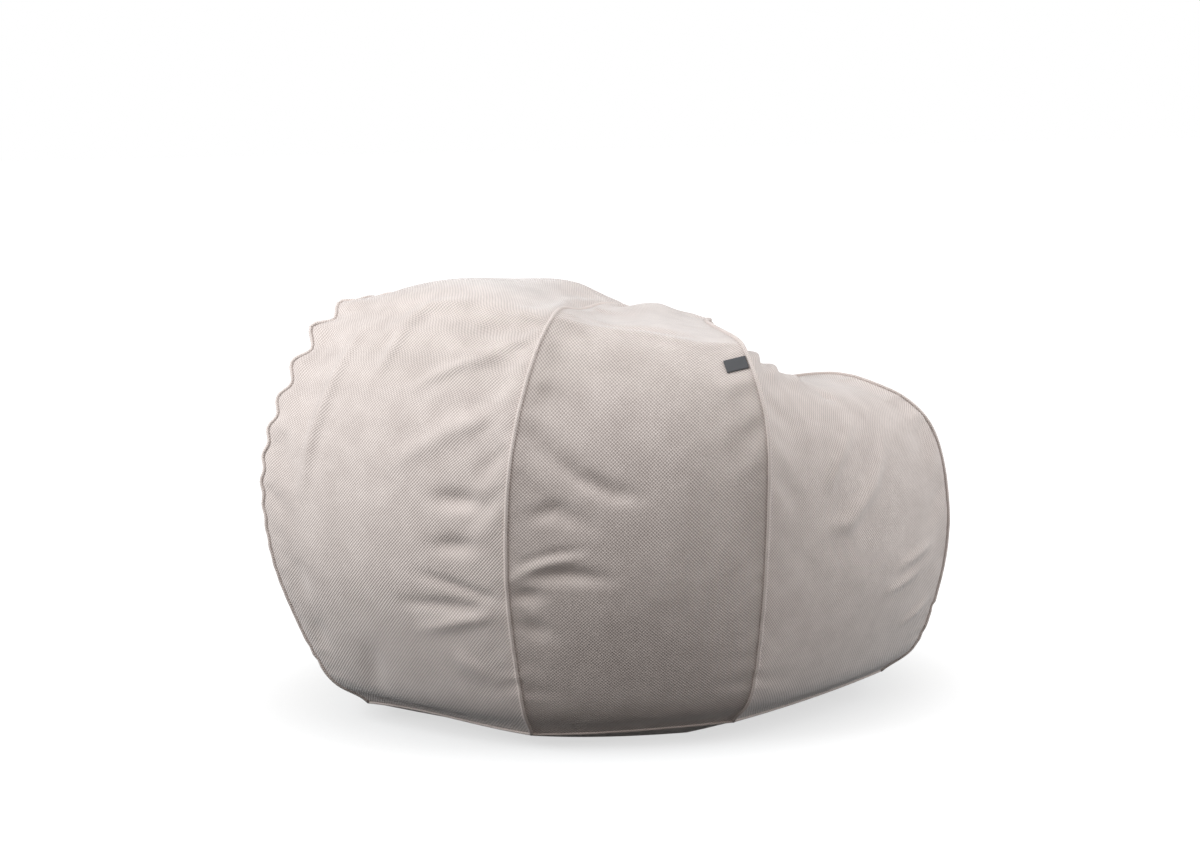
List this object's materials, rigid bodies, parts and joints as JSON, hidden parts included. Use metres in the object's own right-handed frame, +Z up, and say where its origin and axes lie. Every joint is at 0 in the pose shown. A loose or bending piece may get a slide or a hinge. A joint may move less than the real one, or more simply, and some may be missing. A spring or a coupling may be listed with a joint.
{
  "type": "bean bag chair",
  "caption": "Low bean bag chair with welted gore panels round a seat hollow, a bead-filled inner liner, and zips without pulls under the base.",
  "frame": {"origin": "on the floor under the middle of the bag's bounding box", "axes": "+X towards the chair's front, +Y to the sitter's left, +Z up"},
  "size_m": [1.141, 1.0154, 0.6922],
  "materials": {
    "cover_fabric": "light warm greige woven upholstery with a soft velvety sheen",
    "welt_fabric": "same cloth folded and topstitched into a raised welt",
    "label_fabric": "bare charcoal woven tag, folded",
    "zip_tape": "flat woven polyester tape",
    "zip_teeth": "moulded acetal teeth",
    "zip_metal": "lacquered die-cast slider and crimped stops",
    "liner_fabric": "thin white spun lining",
    "beads": "loose white expanded polystyrene beads"
  },
  "bodies": {
    "bag": {"cover_panel_front_right": "cover_fabric", "cover_panel_front_left": "cover_fabric", "cover_panel_front_side_right": "cover_fabric", "cover_panel_front_side_left": "cover_fabric", "cover_panel_rear_side_right": "cover_fabric", "cover_panel_rear_side_left": "cover_fabric", "cover_panel_back_right": "cover_fabric", "cover_panel_back_left": "cover_fabric", "seam_welt_front_centre": "welt_fabric", "seam_welt_back_centre": "welt_fabric", "seam_welt_front_right": "welt_fabric", "seam_welt_front_left": "welt_fabric", "seam_welt_side_right": "welt_fabric", "seam_welt_side_left": "welt_fabric", "seam_welt_rear_right": "welt_fabric", "seam_welt_rear_left": "welt_fabric", "base_panel_right": "cover_fabric", "base_panel_left": "cover_fabric", "hem_welt": "welt_fabric", "top_cap": "cover_fabric", "cap_welt": "welt_fabric", "cover_zip_tape_right": "zip_tape", "cover_zip_tape_left": "zip_tape", "cover_zip_teeth_right": "zip_teeth", "cover_zip_teeth_left": "zip_teeth", "cover_zip_stops": "zip_metal", "liner_body": "liner_fabric", "liner_base": "liner_fabric", "liner_zip_tape_right": "zip_tape", "liner_zip_tape_left": "zip_tape", "liner_zip_teeth_right": "zip_teeth", "liner_zip_teeth_left": "zip_teeth", "liner_zip_stops": "zip_metal", "bead_fill": "beads"},
    "label": {"label_tag": "label_fabric"},
    "cover_slider": {"cover_zip_slider": "zip_metal"},
    "liner_slider": {"liner_zip_slider": "zip_metal"}
  },
  "joints": [
    {"name": "label_flip", "type": "hinge", "parent": "bag", "child": "label", "pos_m": [-0.00845, -0.46995, 0.58085], "axis": [-0.0047, 0.6133, 0.7898], "range_deg": [0, 110]},
    {"name": "cover_zip_run", "type": "slide", "parent": "bag", "child": "cover_slider", "axis": [1, 0, 0], "range_m": [-0.466, 0], "deforming": ["cover_zip_teeth_right", "cover_zip_teeth_left"]},
    {"name": "liner_zip_run", "type": "slide", "parent": "bag", "child": "liner_slider", "axis": [1, 0, 0], "range_m": [-0.338, 0], "deforming": ["liner_zip_teeth_right", "liner_zip_teeth_left"]}
  ]
}
